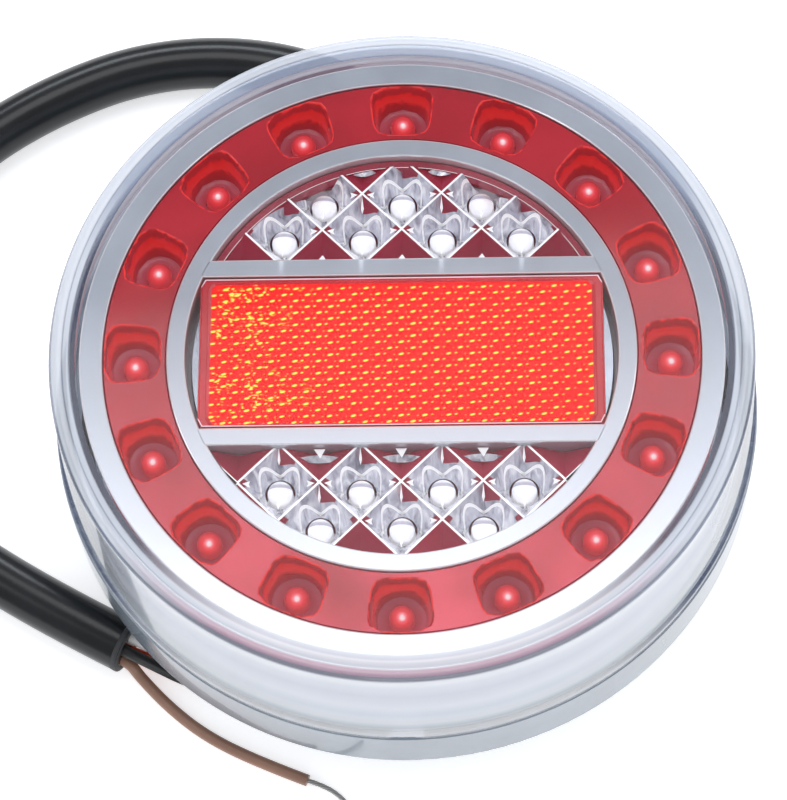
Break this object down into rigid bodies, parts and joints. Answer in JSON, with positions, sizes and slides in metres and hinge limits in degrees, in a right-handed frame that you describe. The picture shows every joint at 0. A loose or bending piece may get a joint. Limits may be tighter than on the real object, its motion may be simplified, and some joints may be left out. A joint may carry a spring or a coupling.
{
  "type": "trailer tail light",
  "caption": "Round trailer tail lamp with a red light ring, clear light windows, a red reflector bar, rear mounting studs and a cut cable lead.",
  "frame": {"origin": "on the lamp's optical axis, at the level of the three mounting stud tips the lamp stands on", "axes": "+Z along the optical axis, out of the clear face; +Y towards the top of the mounted lamp, +X to its right seen from the front"},
  "size_m": [0.189, 0.1719, 0.056],
  "materials": {
    "grey_housing": "gloss",
    "clear_lens": "gloss",
    "seal_rubber": "matt",
    "silver_trim": "satin",
    "red_lens": "gloss",
    "white_inner": "satin",
    "clear_optic": "gloss",
    "reflector_red": "gloss",
    "reflector_back": "gloss",
    "mirror_tray": "gloss",
    "board_red": "gloss",
    "led_clear": "gloss",
    "led_water": "gloss",
    "resistor_black": "matt",
    "chip_black": "matt",
    "capacitor_can": "satin",
    "zinc_steel": "satin",
    "solder": "satin",
    "grommet_rubber": "matt",
    "resin_black": "gloss",
    "membrane": "matt",
    "cable_black": "satin",
    "core_brown": "satin",
    "core_black": "satin",
    "core_white": "satin",
    "core_yellow": "satin",
    "core_red": "satin",
    "copper": "satin"
  },
  "bodies": {
    "root": {"rear_housing": "grey_housing", "clear_outer_lens": "clear_lens", "lens_seal": "seal_rubber", "outer_bezel": "silver_trim", "inner_frame": "silver_trim", "red_ring_lens": "red_lens", "carrier_ring": "white_inner", "light_baffle": "white_inner", "upper_window_optic": "clear_optic", "lower_window_optic": "clear_optic", "reflex_reflector": "reflector_red", "reflector_backing": "reflector_back", "reflector_tray": "mirror_tray", "led_board": "board_red", "ring_lights": "led_clear", "upper_window_lights": "led_water", "lower_window_lights": "led_water", "series_resistors": "resistor_black", "protection_diodes": "resistor_black", "driver_chips": "chip_black", "smoothing_capacitors": "capacitor_can", "board_screws": "zinc_steel", "mounting_studs": "zinc_steel", "cable_grommet": "grommet_rubber", "sealing_resin": "resin_black", "vent_membrane": "membrane", "board_leads": "core_red", "lead_solder": "solder", "cable_jacket": "cable_black", "core_brown": "core_brown", "bare_wire_brown": "copper", "core_black": "core_black", "bare_wire_black": "copper", "core_white": "core_white", "bare_wire_white": "copper", "core_yellow": "core_yellow", "bare_wire_yellow": "copper", "core_red": "core_red", "bare_wire_red": "copper"}
  },
  "joints": []
}
